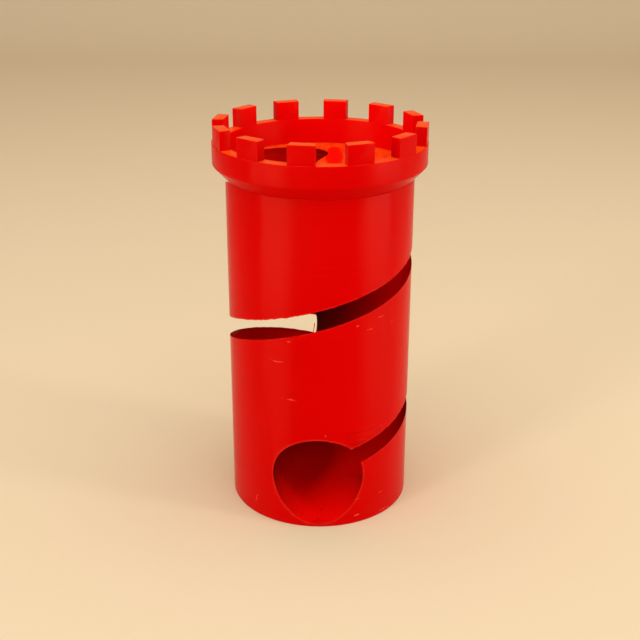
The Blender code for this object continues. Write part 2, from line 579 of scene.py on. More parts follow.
@dataclass
class Crown:
    """The crown: corbel, ring, deck and merlons in one print, with two pegs below."""

    tunnel: Tunnel
    pegs: Pegs
    foot: float = 112.2 * MM
    foot_radius: float = 30.0 * MM
    hem: float = 0.2 * MM
    corbel: float = 4.0 * MM
    ring_height: float = 6.7 * MM
    wall: float = 4.0 * MM
    deck: float = 2.55 * MM
    edge_round: float = 0.2 * MM
    sides: int = 288
    merlons: int = 12
    merlon_turn: float = math.radians(20.75)
    merlon_half_turn: float = math.radians(7.15)
    merlon_inset: float = 0.05 * MM
    merlon_depth: float = 3.65 * MM
    merlon_height: float = 6.0 * MM
    merlon_sink: float = 1.0 * MM
    merlon_round: float = 0.28 * MM
    merlon_top_round: float = 0.12 * MM
    round_steps: int = 3
    top_steps: int = 2

    @property
    def radius(self) -> float:
        """Outer radius of the ring."""
        return self.foot_radius + self.corbel

    @property
    def ring_top(self) -> float:
        """Height of the ring's top."""
        return self.foot + self.corbel + self.ring_height

    def build(self, helix: bpy.types.Object) -> bpy.types.Object:
        """Raise the crown, stand the merlons on it, add the pegs and cut the entry.

        Args:
            helix: The helical cutter.

        Returns:
            The finished crown.
        """
        crown = self.blank()
        merlons = self.battlement()
        pegs = self.peg_pair()
        Bench.combine(crown, merlons, Joining.JOIN)
        for peg in pegs:
            Bench.combine(crown, peg, Joining.JOIN)
        Bench.combine(crown, helix, Joining.CUT)
        Bench.discard([merlons, *pegs])
        Bench.merge(crown, [strand.build() for strand in CROWN_STRANDS])
        Bench.smooth(crown, PRINT_SMOOTH)
        return crown

    def blank(self) -> bpy.types.Object:
        """Raise the corbel, the ring and the deck's recess from one disc.

        Returns:
            The crown without merlons, pegs or entry.
        """
        Bench.clear()
        middle = self.foot + (self.corbel - self.hem) / 2
        bpy.ops.mesh.primitive_cylinder_add(
            vertices=self.sides, radius=self.foot_radius, depth=self.corbel + self.hem,
            location=(0, 0, middle))
        crown = Bench.named("crown")
        Bench.pick_points(crown, lambda point: point.z > middle)
        spread = self.radius / self.foot_radius
        bpy.ops.transform.resize(value=(spread, spread, 1), center_override=(0, 0, self.foot + self.corbel))
        Bench.pull(Vector((0, 0, self.ring_height)))
        inner = self.radius - self.wall
        Bench.pull(Vector(), inner / self.radius, Vector((0, 0, self.ring_top)))
        Bench.pull(Vector((0, 0, self.foot + self.deck - self.ring_top)))
        bpy.ops.object.mode_set(mode="OBJECT")
        top, foot = self.ring_top, self.foot + self.corbel
        for height, radius in ((top, self.radius), (top, inner), (foot, self.radius)):
            Bench.bevel(crown, level_edge(height, radius), self.edge_round, self.round_steps)
        return crown

    def merlon(self) -> bpy.types.Object:
        """Shape one merlon on the +X side: flat inside and outside, its sides pointing at the axis.

        Returns:
            The merlon, its foot sunk into the ring.
        """
        Bench.clear()
        inner = self.radius - self.wall + self.merlon_inset
        outer = inner + self.merlon_depth
        spread = math.tan(self.merlon_half_turn)
        low = self.ring_top - self.merlon_sink
        high = self.ring_top + self.merlon_height
        bpy.ops.mesh.primitive_cube_add(
            size=1,
            location=((inner + outer) / 2, 0, (low + high) / 2),
            scale=(self.merlon_depth, 2 * outer * spread, high - low),
        )
        block = Bench.named("merlon")
        middle = (inner + outer) / 2
        Bench.pick_points(block, lambda point: point.x < middle)
        bpy.ops.transform.resize(value=(1, inner / outer, 1), center_override=(inner, 0, 0))
        bpy.ops.object.mode_set(mode="OBJECT")
        Bench.bevel(block, lambda a, b: abs(a.z - b.z) > NEAR, self.merlon_round, self.round_steps)
        Bench.bevel(block, level_edge(high), self.merlon_top_round, self.top_steps)
        return block

    def battlement(self) -> bpy.types.Object:
        """Copy the merlon round the ring.

        Returns:
            All the merlons as one object.
        """
        block = self.merlon()
        copies = []
        for number in range(self.merlons):
            copy = block.copy()
            copy.data = block.data.copy()
            turn = self.merlon_turn + math.tau * number / self.merlons
            copy.data.transform(Matrix.Rotation(turn, 4, "Z"))
            bpy.context.scene.collection.objects.link(copy)
            copies.append(copy)
        Bench.discard([block])
        Bench.merge(copies[0], copies[1:])
        return copies[0]

    def peg_pair(self) -> list[bpy.types.Object]:
        """Build the pegs, chamfered at their lower ends.

        Returns:
            One peg for each socket.
        """
        low, high = self.foot - self.pegs.length, self.foot + self.deck / 2
        pegs = []
        for number, centre in enumerate(self.pegs.centres()):
            peg = self.pegs.column(f"peg_{number}", centre, self.pegs.radius, low, high)
            Bench.bevel(peg, level_edge(low), self.pegs.chamfer, 1)
            pegs.append(peg)
        return pegs


Socket = bpy.types.NodeSocket | float
Pair = tuple[float, float]
Triple = tuple[float, float, float]
Colour = Triple


class Sheet:
    """A node tree under construction, with short ways to add the nodes that the finishes need."""

    def __init__(self, tree: bpy.types.NodeTree) -> None:
        """Start on a tree, which the other methods fill."""
        self.tree = tree

    def add(self, kind: str, **settings: object) -> bpy.types.Node:
        """Add a node and set its properties.

        Args:
            kind: The node's type name.
            settings: The properties to set on it.

        Returns:
            The new node.
        """
        node = self.tree.nodes.new(kind)
        for name, value in settings.items():
            setattr(node, name, value)
        return node

    def feed(self, socket: bpy.types.NodeSocket, value: Socket | tuple) -> None:
        """Link a value into a socket, or type it there.

        Args:
            socket: The input to feed.
            value: An output socket, or a plain value.
        """
        if isinstance(value, bpy.types.NodeSocket):
            self.tree.links.new(value, socket)
        elif socket.type == "RGBA" and len(value) == 3:
            socket.default_value = (*value, 1.0)
        else:
            socket.default_value = value

    def filled(self, kind: str, values: Iterable[Socket | tuple], **settings: object) -> bpy.types.Node:
        """Add a node and feed its first inputs.

        Args:
            kind: The node's type name.
            values: The inputs' values, in order.
            settings: The properties to set on it.

        Returns:
            The new node.
        """
        node = self.add(kind, **settings)
        for socket, value in zip(node.inputs, values):
            self.feed(socket, value)
        return node

    def math(self, operation: str, *values: Socket, clamp: bool = False) -> Socket:
        """Add a Math node, kept between 0 and 1 if it is clamped, and give back its result."""
        return self.filled("ShaderNodeMath", values, operation=operation, use_clamp=clamp).outputs[0]

    def times(self, *values: Socket) -> Socket:
        """Multiply values with each other."""
        return reduce(lambda first, second: self.math("MULTIPLY", first, second), values)

    def plus(self, *values: Socket) -> Socket:
        """Add values up."""
        return reduce(lambda first, second: self.math("ADD", first, second), values)

    def minus(self, first: Socket, second: Socket) -> Socket:
        """Take the second value from the first."""
        return self.math("SUBTRACT", first, second)

    def most(self, *values: Socket) -> Socket:
        """Give back the largest of the values."""
        return reduce(lambda first, second: self.math("MAXIMUM", first, second), values)

    def vector(self, operation: str, *values: Socket | tuple) -> Socket:
        """Add a Vector Math node and give back its vector."""
        return self.filled("ShaderNodeVectorMath", values, operation=operation).outputs["Vector"]

    def measure(self, operation: str, *values: Socket | tuple) -> Socket:
        """Add a Vector Math node and give back its number."""
        return self.filled("ShaderNodeVectorMath", values, operation=operation).outputs["Value"]

    def split(self, value: Socket) -> bpy.types.NodeOutputs:
        """Part a vector into its X, Y and Z."""
        return self.filled("ShaderNodeSeparateXYZ", (value,)).outputs

    def span(self, value: Socket, low: Socket, high: Socket, start: Socket = 0.0, end: Socket = 1.0,
             soft: bool = False) -> Socket:
        """Map a value's range onto another, kept within its ends.

        Args:
            value: The value to map.
            low: Where the range begins.
            high: Where it ends.
            start: The result at its beginning.
            end: The result at its end.
            soft: Whether the way between is eased.

        Returns:
            The mapped value.
        """
        way = "SMOOTHSTEP" if soft else "LINEAR"
        values = (value, low, high, start, end)
        return self.filled("ShaderNodeMapRange", values, interpolation_type=way).outputs[0]

    def blend(self, share: Socket, first: Socket | tuple, second: Socket | tuple) -> Socket:
        """Mix two colours.

        Args:
            share: How much of the second there is.
            first: The first colour.
            second: The second colour.

        Returns:
            The mixed colour.
        """
        node = self.add("ShaderNodeMix", data_type="RGBA")
        for index, value in ((0, share), (6, first), (7, second)):
            self.feed(node.inputs[index], value)
        return node.outputs[2]

    def mix(self, share: Socket, first: Socket, second: Socket) -> Socket:
        """Mix two numbers.

        Args:
            share: How much of the second there is.
            first: The first number.
            second: The second number.

        Returns:
            The mixed number.
        """
        node = self.add("ShaderNodeMix", data_type="FLOAT")
        for index, value in ((0, share), (2, first), (3, second)):
            self.feed(node.inputs[index], value)
        return node.outputs[0]

    def noise(self, where: Socket, scale: float, detail: float = 2.0, rough: float = 0.5) -> Socket:
        """Add a Noise node.

        Args:
            where: The coordinates.
            scale: Its scale, in cells a metre.
            detail: How many finer layers it has.
            rough: How strong they are.

        Returns:
            The noise, about 0.5.
        """
        node = self.add("ShaderNodeTexNoise")
        for name, value in (("Vector", where), ("Scale", scale), ("Detail", detail), ("Roughness", rough)):
            self.feed(node.inputs[name], value)
        return node.outputs["Fac"]

    def drift(self, where: Socket, scale: float, detail: float, width: Socket) -> Socket:
        """Add a noise about zero, of a given width."""
        return self.times(self.minus(self.noise(where, scale, detail), 0.5), width)

    def stretch(self, where: Socket, scale: Triple, turn: float = 0.0) -> Socket:
        """Scale coordinates along each axis, then turn them about Z."""
        values = (where, (0.0, 0.0, 0.0), (0.0, 0.0, turn), scale)
        return self.filled("ShaderNodeMapping", values).outputs[0]

    def chance(self, value: Socket) -> Socket:
        """Give each whole number a value of its own between 0 and 1.

        Args:
            value: The number.

        Returns:
            Its random value.
        """
        node = self.add("ShaderNodeTexWhiteNoise", noise_dimensions="1D")
        self.feed(node.inputs["W"], value)
        return node.outputs["Value"]

    def bead(self, count: Socket) -> Socket:
        """Round the way from one whole number to the next into a bead, 1 high on top."""
        across = self.minus(self.times(self.math("FRACT", count), 2.0), 1.0)
        return self.minus(1.0, self.times(across, across))

    def place(self, tree: bpy.types.NodeTree, **values: Socket | tuple) -> bpy.types.NodeOutputs:
        """Place a shared group and feed its inputs.

        Args:
            tree: The group's tree.
            values: Its inputs by name.

        Returns:
            The group's outputs.
        """
        node = self.add("ShaderNodeGroup", node_tree=tree)
        for name, value in values.items():
            self.feed(node.inputs[name], value)
        return node.outputs


Group = tuple[Sheet, bpy.types.NodeOutputs, bpy.types.NodeInputs]


class SharedEffects:
    """The effects that both prints' finishes use, each built once as a node group."""

    VECTORS = ("Place", "Look", "Wall", "From", "To")
    LAYER_DRIFT = (140.0, 3.0)
    LAYER_UNEVEN = 0.25
    SKIN_DRIFT = (350.0, 2.0)
    SKIN_UNEVEN = 0.6
    WEAR_BREAKS = (420.0, 3.0)
    WEAR_SPAN = (0.35, 0.6)
    FLECK_SCALE = 380.0

    def __init__(self, tunnel: Tunnel) -> None:
        """Build every group.

        Args:
            tunnel: The tunnel, whose lips the wear follows.
        """
        self.wall_map = self.build_wall_map()
        self.layers = self.build_layers()
        self.skin = self.build_skin()
        self.lips = self.build_lips(tunnel)
        self.wear = self.build_wear()
        self.scratch = self.build_scratch()
        self.flecks = self.build_flecks()

    @classmethod
    def start(cls, name: str, inputs: tuple[str, ...], outputs: tuple[str, ...]) -> Group:
        """Make an empty group with named sockets.

        Args:
            name: The group's name.
            inputs: Its inputs' names.
            outputs: Its outputs' names.

        Returns:
            The sheet, what the group is given, and what it has to make.
        """
        tree = bpy.data.node_groups.new(name, "ShaderNodeTree")
        for way, labels in (("INPUT", inputs), ("OUTPUT", outputs)):
            for label in labels:
                kind = "NodeSocketVector" if label in cls.VECTORS else "NodeSocketFloat"
                tree.interface.new_socket(name=label, in_out=way, socket_type=kind)
        sheet = Sheet(tree)
        return sheet, sheet.add("NodeGroupInput").outputs, sheet.add("NodeGroupOutput").inputs

    @classmethod
    def build_wall_map(cls) -> bpy.types.NodeTree:
        """Unroll the round wall: way round from the front, height, reach from the axis, look outward.

        Returns:
            The group.
        """
        sheet, given, made = cls.start(
            "Wall map", ("Place", "Look", "Radius"), ("Wall", "Turn", "Height", "Reach", "Outward"))
        part = sheet.split(given["Place"])
        turn = sheet.math("ARCTAN2", part["X"], sheet.times(part["Y"], -1.0))
        flat = sheet.filled("ShaderNodeCombineXYZ", (sheet.times(turn, given["Radius"]), part["Z"]))
        level = sheet.vector("MULTIPLY", given["Place"], (1.0, 1.0, 0.0))
        away = sheet.vector("NORMALIZE", level)
        sheet.feed(made["Wall"], flat.outputs[0])
        sheet.feed(made["Turn"], turn)
        sheet.feed(made["Height"], part["Z"])
        sheet.feed(made["Reach"], sheet.measure("LENGTH", level))
        sheet.feed(made["Outward"], sheet.measure("DOT_PRODUCT", away, given["Look"]))
        return sheet.tree

    @staticmethod
    def rows(sheet: Sheet, made: bpy.types.NodeInputs, across: Socket, width: Socket, uneven: float) -> None:
        """Part a surface into rows of beads, each with a height and a shade of its own.

        Args:
            sheet: The group's sheet.
            made: The group's outputs, Bead and Shade.
            across: The way across the rows.
            width: The width of a row.
            uneven: How much the rows differ in height.
        """
        count = sheet.math("DIVIDE", across, width)
        own = sheet.chance(sheet.math("FLOOR", count))
        sheet.feed(made["Bead"], sheet.plus(sheet.bead(count), sheet.times(own, uneven)))
        sheet.feed(made["Shade"], own)

    @classmethod
    def build_layers(cls) -> bpy.types.NodeTree:
        """Stack the beads of a print: rounded layers with slight wander and shade.

        Returns:
            The group.
        """
        sheet, given, made = cls.start("Layer lines", ("Place", "Layer", "Wander"), ("Bead", "Shade"))
        drift = sheet.drift(given["Place"], *cls.LAYER_DRIFT, given["Wander"])
        height = sheet.plus(sheet.split(given["Place"])["Z"], drift)
        cls.rows(sheet, made, height, given["Layer"], cls.LAYER_UNEVEN)
        return sheet.tree

    @classmethod
    def build_skin(cls) -> bpy.types.NodeTree:
        """Lay the diagonal strokes of a print's top skin.

        Returns:
            The group.
        """
        sheet, given, made = cls.start("Skin lines", ("Place", "Stroke", "Turn", "Drift"), ("Bead", "Shade"))
        turned = sheet.add("ShaderNodeVectorRotate", rotation_type="Z_AXIS")
        sheet.feed(turned.inputs["Vector"], given["Place"])
        sheet.feed(turned.inputs["Angle"], given["Turn"])
        drift = sheet.drift(given["Place"], *cls.SKIN_DRIFT, given["Drift"])
        across = sheet.plus(sheet.split(turned.outputs[0])["X"], drift)
        cls.rows(sheet, made, across, given["Stroke"], cls.SKIN_UNEVEN)
        return sheet.tree

    @classmethod
    def build_lips(cls, tunnel: Tunnel) -> bpy.types.NodeTree:
        """Measure how far the wall is from the edge of the slot and from the edge of the mouth.

        Args:
            tunnel: The tunnel that opens them.

        Returns:
            The group.
        """
        sheet, given, made = cls.start("Lip distance", ("Place", "Turn", "Height", "Lip"), ("Slot", "Mouth"))
        front_height = tunnel.elbow_height + tunnel.rise * (-math.pi / 2 - tunnel.elbow_turn)
        path = sheet.plus(sheet.times(given["Turn"], tunnel.rise), front_height)
        offset = sheet.minus(given["Height"], path)
        turns = sheet.math("ROUND", sheet.math("DIVIDE", offset, tunnel.pitch))
        above = sheet.minus(offset, sheet.times(turns, tunnel.pitch))
        slot = sheet.math("ABSOLUTE", sheet.minus(sheet.math("ABSOLUTE", above), given["Lip"]))
        below = sheet.math("LESS_THAN", sheet.minus(given["Height"], above), tunnel.elbow_height)
        sheet.feed(made["Slot"], sheet.plus(slot, below))
        forward = tuple(tunnel.forward)
        away = sheet.vector("SUBTRACT", given["Place"], tuple(tunnel.place(tunnel.elbow_turn)))
        aside = sheet.measure("LENGTH", sheet.vector("CROSS_PRODUCT", away, forward))
        rim = sheet.math("ABSOLUTE", sheet.minus(aside, tunnel.radius))
        behind = sheet.math("LESS_THAN", sheet.measure("DOT_PRODUCT", away, forward), 0.0)
        sheet.feed(made["Mouth"], sheet.plus(rim, behind))
        return sheet.tree

    @classmethod
    def build_wear(cls) -> bpy.types.NodeTree:
        """Lighten an edge, as rubbed wear with a painted highlight: strongest at the edge and broken up along
        it.

        Returns:
            The group.
        """
        sheet, given, made = cls.start("Edge wear", ("Place", "Distance", "Width", "Patchiness"), ("Mask",))
        near = sheet.span(given["Distance"], given["Width"], 0.0, soft=True)
        broken = sheet.span(sheet.noise(given["Place"], *cls.WEAR_BREAKS), *cls.WEAR_SPAN)
        sheet.feed(made["Mask"], sheet.times(near, sheet.mix(given["Patchiness"], 1.0, broken)))
        return sheet.tree

    @classmethod
    def build_scratch(cls) -> bpy.types.NodeTree:
        """Draw one fine mark from one place on the unrolled wall to another.

        Returns:
            The group.
        """
        sheet, given, made = cls.start("Scratch", ("Wall", "From", "To", "Width"), ("Mask",))
        away = sheet.vector("SUBTRACT", given["Wall"], given["From"])
        along = sheet.vector("SUBTRACT", given["To"], given["From"])
        reached, length = (sheet.measure("DOT_PRODUCT", part, along) for part in (away, along))
        # SCALE and not MULTIPLY: with MULTIPLY here, the whole shaft rendered black
        nearest = sheet.filled("ShaderNodeVectorMath", (along,), operation="SCALE")
        sheet.feed(nearest.inputs["Scale"], sheet.math("DIVIDE", reached, length, clamp=True))
        gap = sheet.measure("DISTANCE", away, nearest.outputs["Vector"])
        sheet.feed(made["Mask"], sheet.span(gap, given["Width"], 0.0, soft=True))
        return sheet.tree

    @classmethod
    def build_flecks(cls) -> bpy.types.NodeTree:
        """Scatter the small raised specks that a nozzle leaves.

        Returns:
            The group.
        """
        sheet, given, made = cls.start("Flecks", ("Place", "Size", "Share"), ("Mask",))
        cell = sheet.add("ShaderNodeTexVoronoi", feature="F1")
        sheet.feed(cell.inputs["Vector"], given["Place"])
        sheet.feed(cell.inputs["Scale"], cls.FLECK_SCALE)
        lone = sheet.math("LESS_THAN", sheet.split(cell.outputs["Color"])["X"], given["Share"])
        dot = sheet.span(cell.outputs["Distance"], given["Size"], 0.0, soft=True)
        sheet.feed(made["Mask"], sheet.times(dot, lone))
        return sheet.tree


@dataclass(frozen=True)
class Scratch:
    """One fine mark on the round wall: turn from the front in degrees and height, at both its ends."""

    start_turn: float
    start_height: float
    end_turn: float
    end_height: float
    width: float = 0.21 * MM
    strength: float = 1.0

    def ends(self, radius: float) -> list[tuple[float, float, float]]:
        """List both ends on a wall of this radius, unrolled."""
        ends = ((self.start_turn, self.start_height), (self.end_turn, self.end_height))
        return [(math.radians(turn) * radius, height * MM, 0.0) for turn, height in ends]


@dataclass(frozen=True)
class Surface:
    """What a finish knows of the point that it colours."""

    place: Socket
    lean: Socket
    wall: bpy.types.NodeOutputs
    layers: bpy.types.NodeOutputs
    strokes: bpy.types.NodeOutputs
    inside: Socket
    up: Socket
    marks: Socket
    flecks: Socket
    light: Socket
    sagged: Socket


@dataclass(frozen=True)
class RedPrint:
    """The bright red plastic, printed in fine layers.

    A pair is a range, from where an effect begins to where it is full. The pair of a noise is its
    scale and detail, that of a wear its width and patchiness, and wall_light and lean_light hold the
    value up in the tunnel and then the one in the mouth.
    """

    name: str
    scratches: tuple[Scratch, ...] = ()
    # The walls
    wall: Colour = (0.62, 0.0, 0.0)
    dark_wall: Colour = (0.56, 0.0, 0.0)
    inner_wall_painted_light: Colour = (0.77, 0.0, 0.0)
    sag_painted_shade: Colour = (0.5, 0.0, 0.0)
    worn_and_edge_highlight: Colour = (0.88, 0.13, 0.07)
    layer: float = 0.2 * MM
    wander: float = 0.05 * MM
    layer_tone: float = 0.35
    patch_noise: Pair = (55.0, 3.0)
    patch_span: Pair = (0.35, 0.65)
    patch_tone: float = 0.2
    inward: Pair = (-0.3, -0.7)
    wall_radius: float = 30.0 * MM
    # The layers that sagged beside the mouth's top, with painted shade in their waves
    sag_turn: float = math.radians(29)
    sag_across: Pair = (9.0 * MM, 6.0 * MM)
    sag_low: Pair = (28.0 * MM, 29.5 * MM)
    sag_high: Pair = (36.0 * MM, 34.0 * MM)
    sag_stretch: Triple = (0.1, 1.0, 1.0)
    sag_lean: float = math.radians(-9)
    sag_scale: float = 800.0
    sag_span: Pair = (0.46, 0.56)
    sag_tone: float = 0.8
    # The upward skin: its orange is partly the top skin's own tone and partly a painted sheen
    skin: Colour = (0.82, 0.068, 0.004)
    dark_skin: Colour = (0.72, 0.012, 0.002)
    ironed_skin_painted_reflection: Colour = (0.78, 0.004, 0.001)
    upward: Pair = (0.92, 0.98)
    stroke: float = 0.42 * MM
    stroke_tone: float = 0.45
    skin_drift: float = 0.2 * MM
    skin_turn: float = math.radians(45)
    streak_stretch: Triple = (1.0, 0.18, 1.0)
    streak_scale: float = 700.0
    streak_span: Pair = (0.45, 0.68)
    streak_tone: float = 0.75
    deck_top: float = 115.5 * MM
    smooth_patch: tuple[tuple[str, float, float], ...] = (
        ("X", 4.6 * MM, 2.9 * MM),
        ("Y", 11.0 * MM, 13.0 * MM),
    )
    smooth_noise: Pair = (260.0, 3.0)
    smooth_wander: float = 0.48
    smooth_span: Pair = (1.35, 0.75)
    # The tunnel, its colours painted shade and painted light
    tunnel_painted_shade: Colour = (0.034, 0.0, 0.0)
    tunnel_painted_light: Colour = (0.97, 0.0, 0.0)
    tunnel_reach: float = 29.7 * MM
    tunnel_top: float = 114.6 * MM
    tunnel_foot: float = 0.0
    level_from: float = 0.97
    joint_height: float = 111.6 * MM
    mouth_zone: Pair = (38.0 * MM, 34.0 * MM)
    light_reach: Pair = (8.0 * MM, 29.0 * MM)
    wall_light: Pair = (0.85, 0.06)
    lean_light: Pair = (0.25, 0.67)
    side_zone: Pair = (-9.0 * MM, 11.0 * MM)
    side_light: float = 0.16
    # The worn edges, with a painted highlight, and the specks
    lip: float = 3.45 * MM
    lips_top: float = 111.8 * MM
    slot_wear: Pair = (0.3 * MM, 1.0)
    mouth_wear: Pair = (0.8 * MM, 0.5)
    edge_tone: float = 0.11
    fleck_size: float = 0.09
    fleck_share: float = 0.05
    wobble_scale: float = 260.0
    wobble: float = 1.6 * MM
    # The gloss
    roughness: Pair = (0.13, 0.22)
    gloss_noise: Triple = (90.0, 4.0, 0.6)
    gloss_span: Pair = (0.3, 0.7)
    tunnel_roughness: float = 0.8
    worn_roughness: float = 0.12
    level: float = 0.026
    tint: Colour = (1.0, 0.45, 0.22)
    # The relief, in beads
    bead: float = 0.024 * MM
    coarse_stretch: Triple = (1.0, 1.0, 3.0)
    coarse_noise: Triple = (420.0, 3.0, 0.6)
    coarse_relief: float = 4.0
    sag_relief: float = 18.0
    mark_relief: float = 1.5
    fleck_relief: float = 2.5

    def make(self, effects: SharedEffects) -> bpy.types.Material:
        """Build the material.

        Args:
            effects: The shared node groups.

        Returns:
            The material.
        """
        material = bpy.data.materials.new(self.name)
        material.use_nodes = True
        sheet = Sheet(material.node_tree)
        shader = material.node_tree.nodes["Principled BSDF"]
        surface = self.survey(sheet, effects)
        self.colour(sheet, shader, surface)
        self.gloss(sheet, shader, surface)
        self.relief(sheet, shader, surface)
        return material

    def survey(self, sheet: Sheet, effects: SharedEffects) -> Surface:
        """Find out what the finish has to know of each point.

        Args:
            sheet: The material's sheet.
            effects: The shared node groups.

        Returns:
            The masks, lines and measures.
        """
        where = sheet.add("ShaderNodeTexCoord").outputs
        place, look = where["Object"], where["Normal"]
        lean = sheet.split(look)["Z"]
        wall = sheet.place(effects.wall_map, Place=place, Look=look, Radius=self.wall_radius)
        layers = sheet.place(effects.layers, Place=place, Layer=self.layer, Wander=self.wander)
        strokes = sheet.place(
            effects.skin, Place=place, Stroke=self.stroke, Turn=self.skin_turn, Drift=self.skin_drift)
        specks = sheet.place(effects.flecks, Place=place, Size=self.fleck_size, Share=self.fleck_share)
        inside = self.tunnel_mask(sheet, wall, lean)
        outside = sheet.minus(1.0, inside)
        up = sheet.times(sheet.span(lean, *self.upward), outside)
        marks = sheet.times(self.marks(sheet, effects, wall["Wall"]), outside)
        edge = sheet.times(self.edge_wear_and_highlight(sheet, effects, place, wall), outside, self.edge_tone)
        light = sheet.most(marks, specks["Mask"], edge)
        sagged = self.sagging(sheet, wall["Wall"])
        return Surface(place, lean, wall, layers, strokes, inside, up, marks, specks["Mask"], light, sagged)

    def tunnel_mask(self, sheet: Sheet, wall: bpy.types.NodeOutputs, lean: Socket) -> Socket:
        """Find the tunnel: everything within the wall but the level faces where the prints meet.

        Args:
            sheet: The material's sheet.
            wall: The wall map.
            lean: How far the surface looks up.

        Returns:
            The mask.
        """
        within = sheet.math("LESS_THAN", wall["Reach"], self.tunnel_reach)
        below = sheet.math("LESS_THAN", wall["Height"], self.tunnel_top)
        above = sheet.math("GREATER_THAN", wall["Height"], self.tunnel_foot)
        level = sheet.math("GREATER_THAN", sheet.math("ABSOLUTE", lean), self.level_from)
        joint = sheet.times(level, sheet.math("GREATER_THAN", wall["Height"], self.joint_height))
        return sheet.times(within, below, above, sheet.minus(1.0, joint))

    def edge_wear_and_highlight(self, sheet: Sheet, effects: SharedEffects, place: Socket,
                  wall: bpy.types.NodeOutputs) -> Socket:
        """Find the lightened edges of the slot and of the mouth: rubbed wear and a painted highlight.

        Args:
            sheet: The material's sheet.
            effects: The shared node groups.
            place: The place on the object.
            wall: The wall map.

        Returns:
            The mask.
        """
        lips = sheet.place(effects.lips, Place=place, Turn=wall["Turn"], Height=wall["Height"], Lip=self.lip)
        rubbed = [
            sheet.place(effects.wear, Place=place, Distance=gap, Width=width, Patchiness=patchy)["Mask"]
            for gap, (width, patchy) in ((lips["Slot"], self.slot_wear), (lips["Mouth"], self.mouth_wear))
        ]
        return sheet.times(sheet.most(*rubbed), sheet.math("LESS_THAN", wall["Height"], self.lips_top))

    def marks(self, sheet: Sheet, effects: SharedEffects, wall: Socket) -> Socket:
        """Draw every scratch of this print.

        Args:
            sheet: The material's sheet.
            effects: The shared node groups.
            wall: The unrolled wall.

        Returns:
            The mask of all the scratches.
        """
        wobble = sheet.add("ShaderNodeTexNoise")
        sheet.feed(wobble.inputs["Vector"], wall)
        sheet.feed(wobble.inputs["Scale"], self.wobble_scale)
        shift = sheet.vector("SUBTRACT", wobble.outputs["Color"], (0.5, 0.5, 0.5))
        bent = sheet.vector("ADD", wall, sheet.vector("MULTIPLY", shift, (self.wobble,) * 3))
        total: Socket = 0.0
        for scratch in self.scratches:
            start, end = scratch.ends(self.wall_radius)
            mask = sheet.place(effects.scratch, Wall=bent, From=start, To=end, Width=scratch.width)["Mask"]
            total = sheet.most(total, sheet.times(mask, scratch.strength))
        return total

    def sagging(self, sheet: Sheet, wall: Socket) -> Socket:
        """Wave the layers that sagged beside the mouth's top, at the foot of the slot.

        Args:
            sheet: The material's sheet.
            wall: The unrolled wall.

        Returns:
            The waves' height, zero elsewhere.
        """
        part = sheet.split(wall)
        across = sheet.math("ABSOLUTE", sheet.minus(part["X"], self.sag_turn * self.wall_radius))
        over = sheet.times(
            sheet.span(across, *self.sag_across, soft=True),
            sheet.span(part["Y"], *self.sag_low),
            sheet.span(part["Y"], *self.sag_high),
        )
        turned = sheet.stretch(wall, self.sag_stretch, self.sag_lean)
        return sheet.times(over, sheet.noise(turned, self.sag_scale))

    def colour(self, sheet: Sheet, shader: bpy.types.Node, surface: Surface) -> None:
        """Colour the walls, the skin, the tunnel and the marks.

        Args:
            sheet: The material's sheet.
            shader: The shader to feed.
            surface: What is known of the point.
        """
        wall, tunnel = self.wall_colour(sheet, surface), self.tunnel_painted_colour(sheet, surface)
        body = sheet.blend(surface.inside, wall, tunnel)
        body = sheet.blend(surface.up, body, self.skin_colour(sheet, surface))
        # lighter marks: scratches and flecks, and on the lips rubbed wear with a painted highlight
        sheet.feed(shader.inputs["Base Color"], sheet.blend(surface.light, body, self.worn_and_edge_highlight))

    def wall_colour(self, sheet: Sheet, surface: Surface) -> Socket:
        """Shade the walls by layer and in patches, with painted light on the inward faces and painted shade
        in the sagged layers.

        Args:
            sheet: The material's sheet.
            surface: What is known of the point.

        Returns:
            The colour.
        """
        patch = sheet.span(sheet.noise(surface.place, *self.patch_noise), *self.patch_span)
        tone = sheet.plus(
            sheet.times(surface.layers["Shade"], self.layer_tone), sheet.times(patch, self.patch_tone))
        wall = sheet.blend(tone, self.wall, self.dark_wall)
        # painted light: the inward faces of the ring and merlons are lightened
        wall = sheet.blend(sheet.span(surface.wall["Outward"], *self.inward), wall, self.inner_wall_painted_light)
        # painted shade in the waves of the sagged layers, where their relief would cast it
        sagged = sheet.span(surface.sagged, *self.sag_span, 0.0, self.sag_tone)
        return sheet.blend(sagged, wall, self.sag_painted_shade)

    def skin_colour(self, sheet: Sheet, surface: Surface) -> Socket:
        """Shade the upward skin by stroke, and the deck in streaks round its smooth patch; the skin's orange
        is partly a painted sheen.

        Args:
            sheet: The material's sheet.
            surface: What is known of the point.

        Returns:
            The colour.
        """
        low = sheet.math("LESS_THAN", surface.wall["Height"], self.deck_top)
        turned = sheet.stretch(surface.place, self.streak_stretch, self.skin_turn)
        streaks = sheet.span(
            sheet.noise(turned, self.streak_scale), *self.streak_span, 0.0, self.streak_tone, soft=True)
        tone = sheet.most(sheet.times(surface.strokes["Shade"], self.stroke_tone), sheet.times(streaks, low))
        # skin and dark_skin carry a painted sheen: more orange than the walls, as the top would reflect the
        # pale room
        skin = sheet.blend(tone, self.skin, self.dark_skin)
        # the smooth oval is painted redder, without the orange sheen, as a painted reflection of the red wall
        return sheet.blend(sheet.times(self.smooth_deck(sheet, surface), low), skin, self.ironed_skin_painted_reflection)

    def smooth_deck(self, sheet: Sheet, surface: Surface) -> Socket:
        """Find the even, redder oval beside the entry, by its distance from the oval's middle.

        Args:
            sheet: The material's sheet.
            surface: What is known of the point.

        Returns:
            The mask.
        """
        part = sheet.split(surface.place)
        away = sheet.drift(surface.place, *self.smooth_noise, self.smooth_wander)
        for axis, middle, half in self.smooth_patch:
            off = sheet.math("DIVIDE", sheet.minus(part[axis], middle), half)
            away = sheet.plus(away, sheet.times(off, off))
        return sheet.span(away, *self.smooth_span, soft=True)

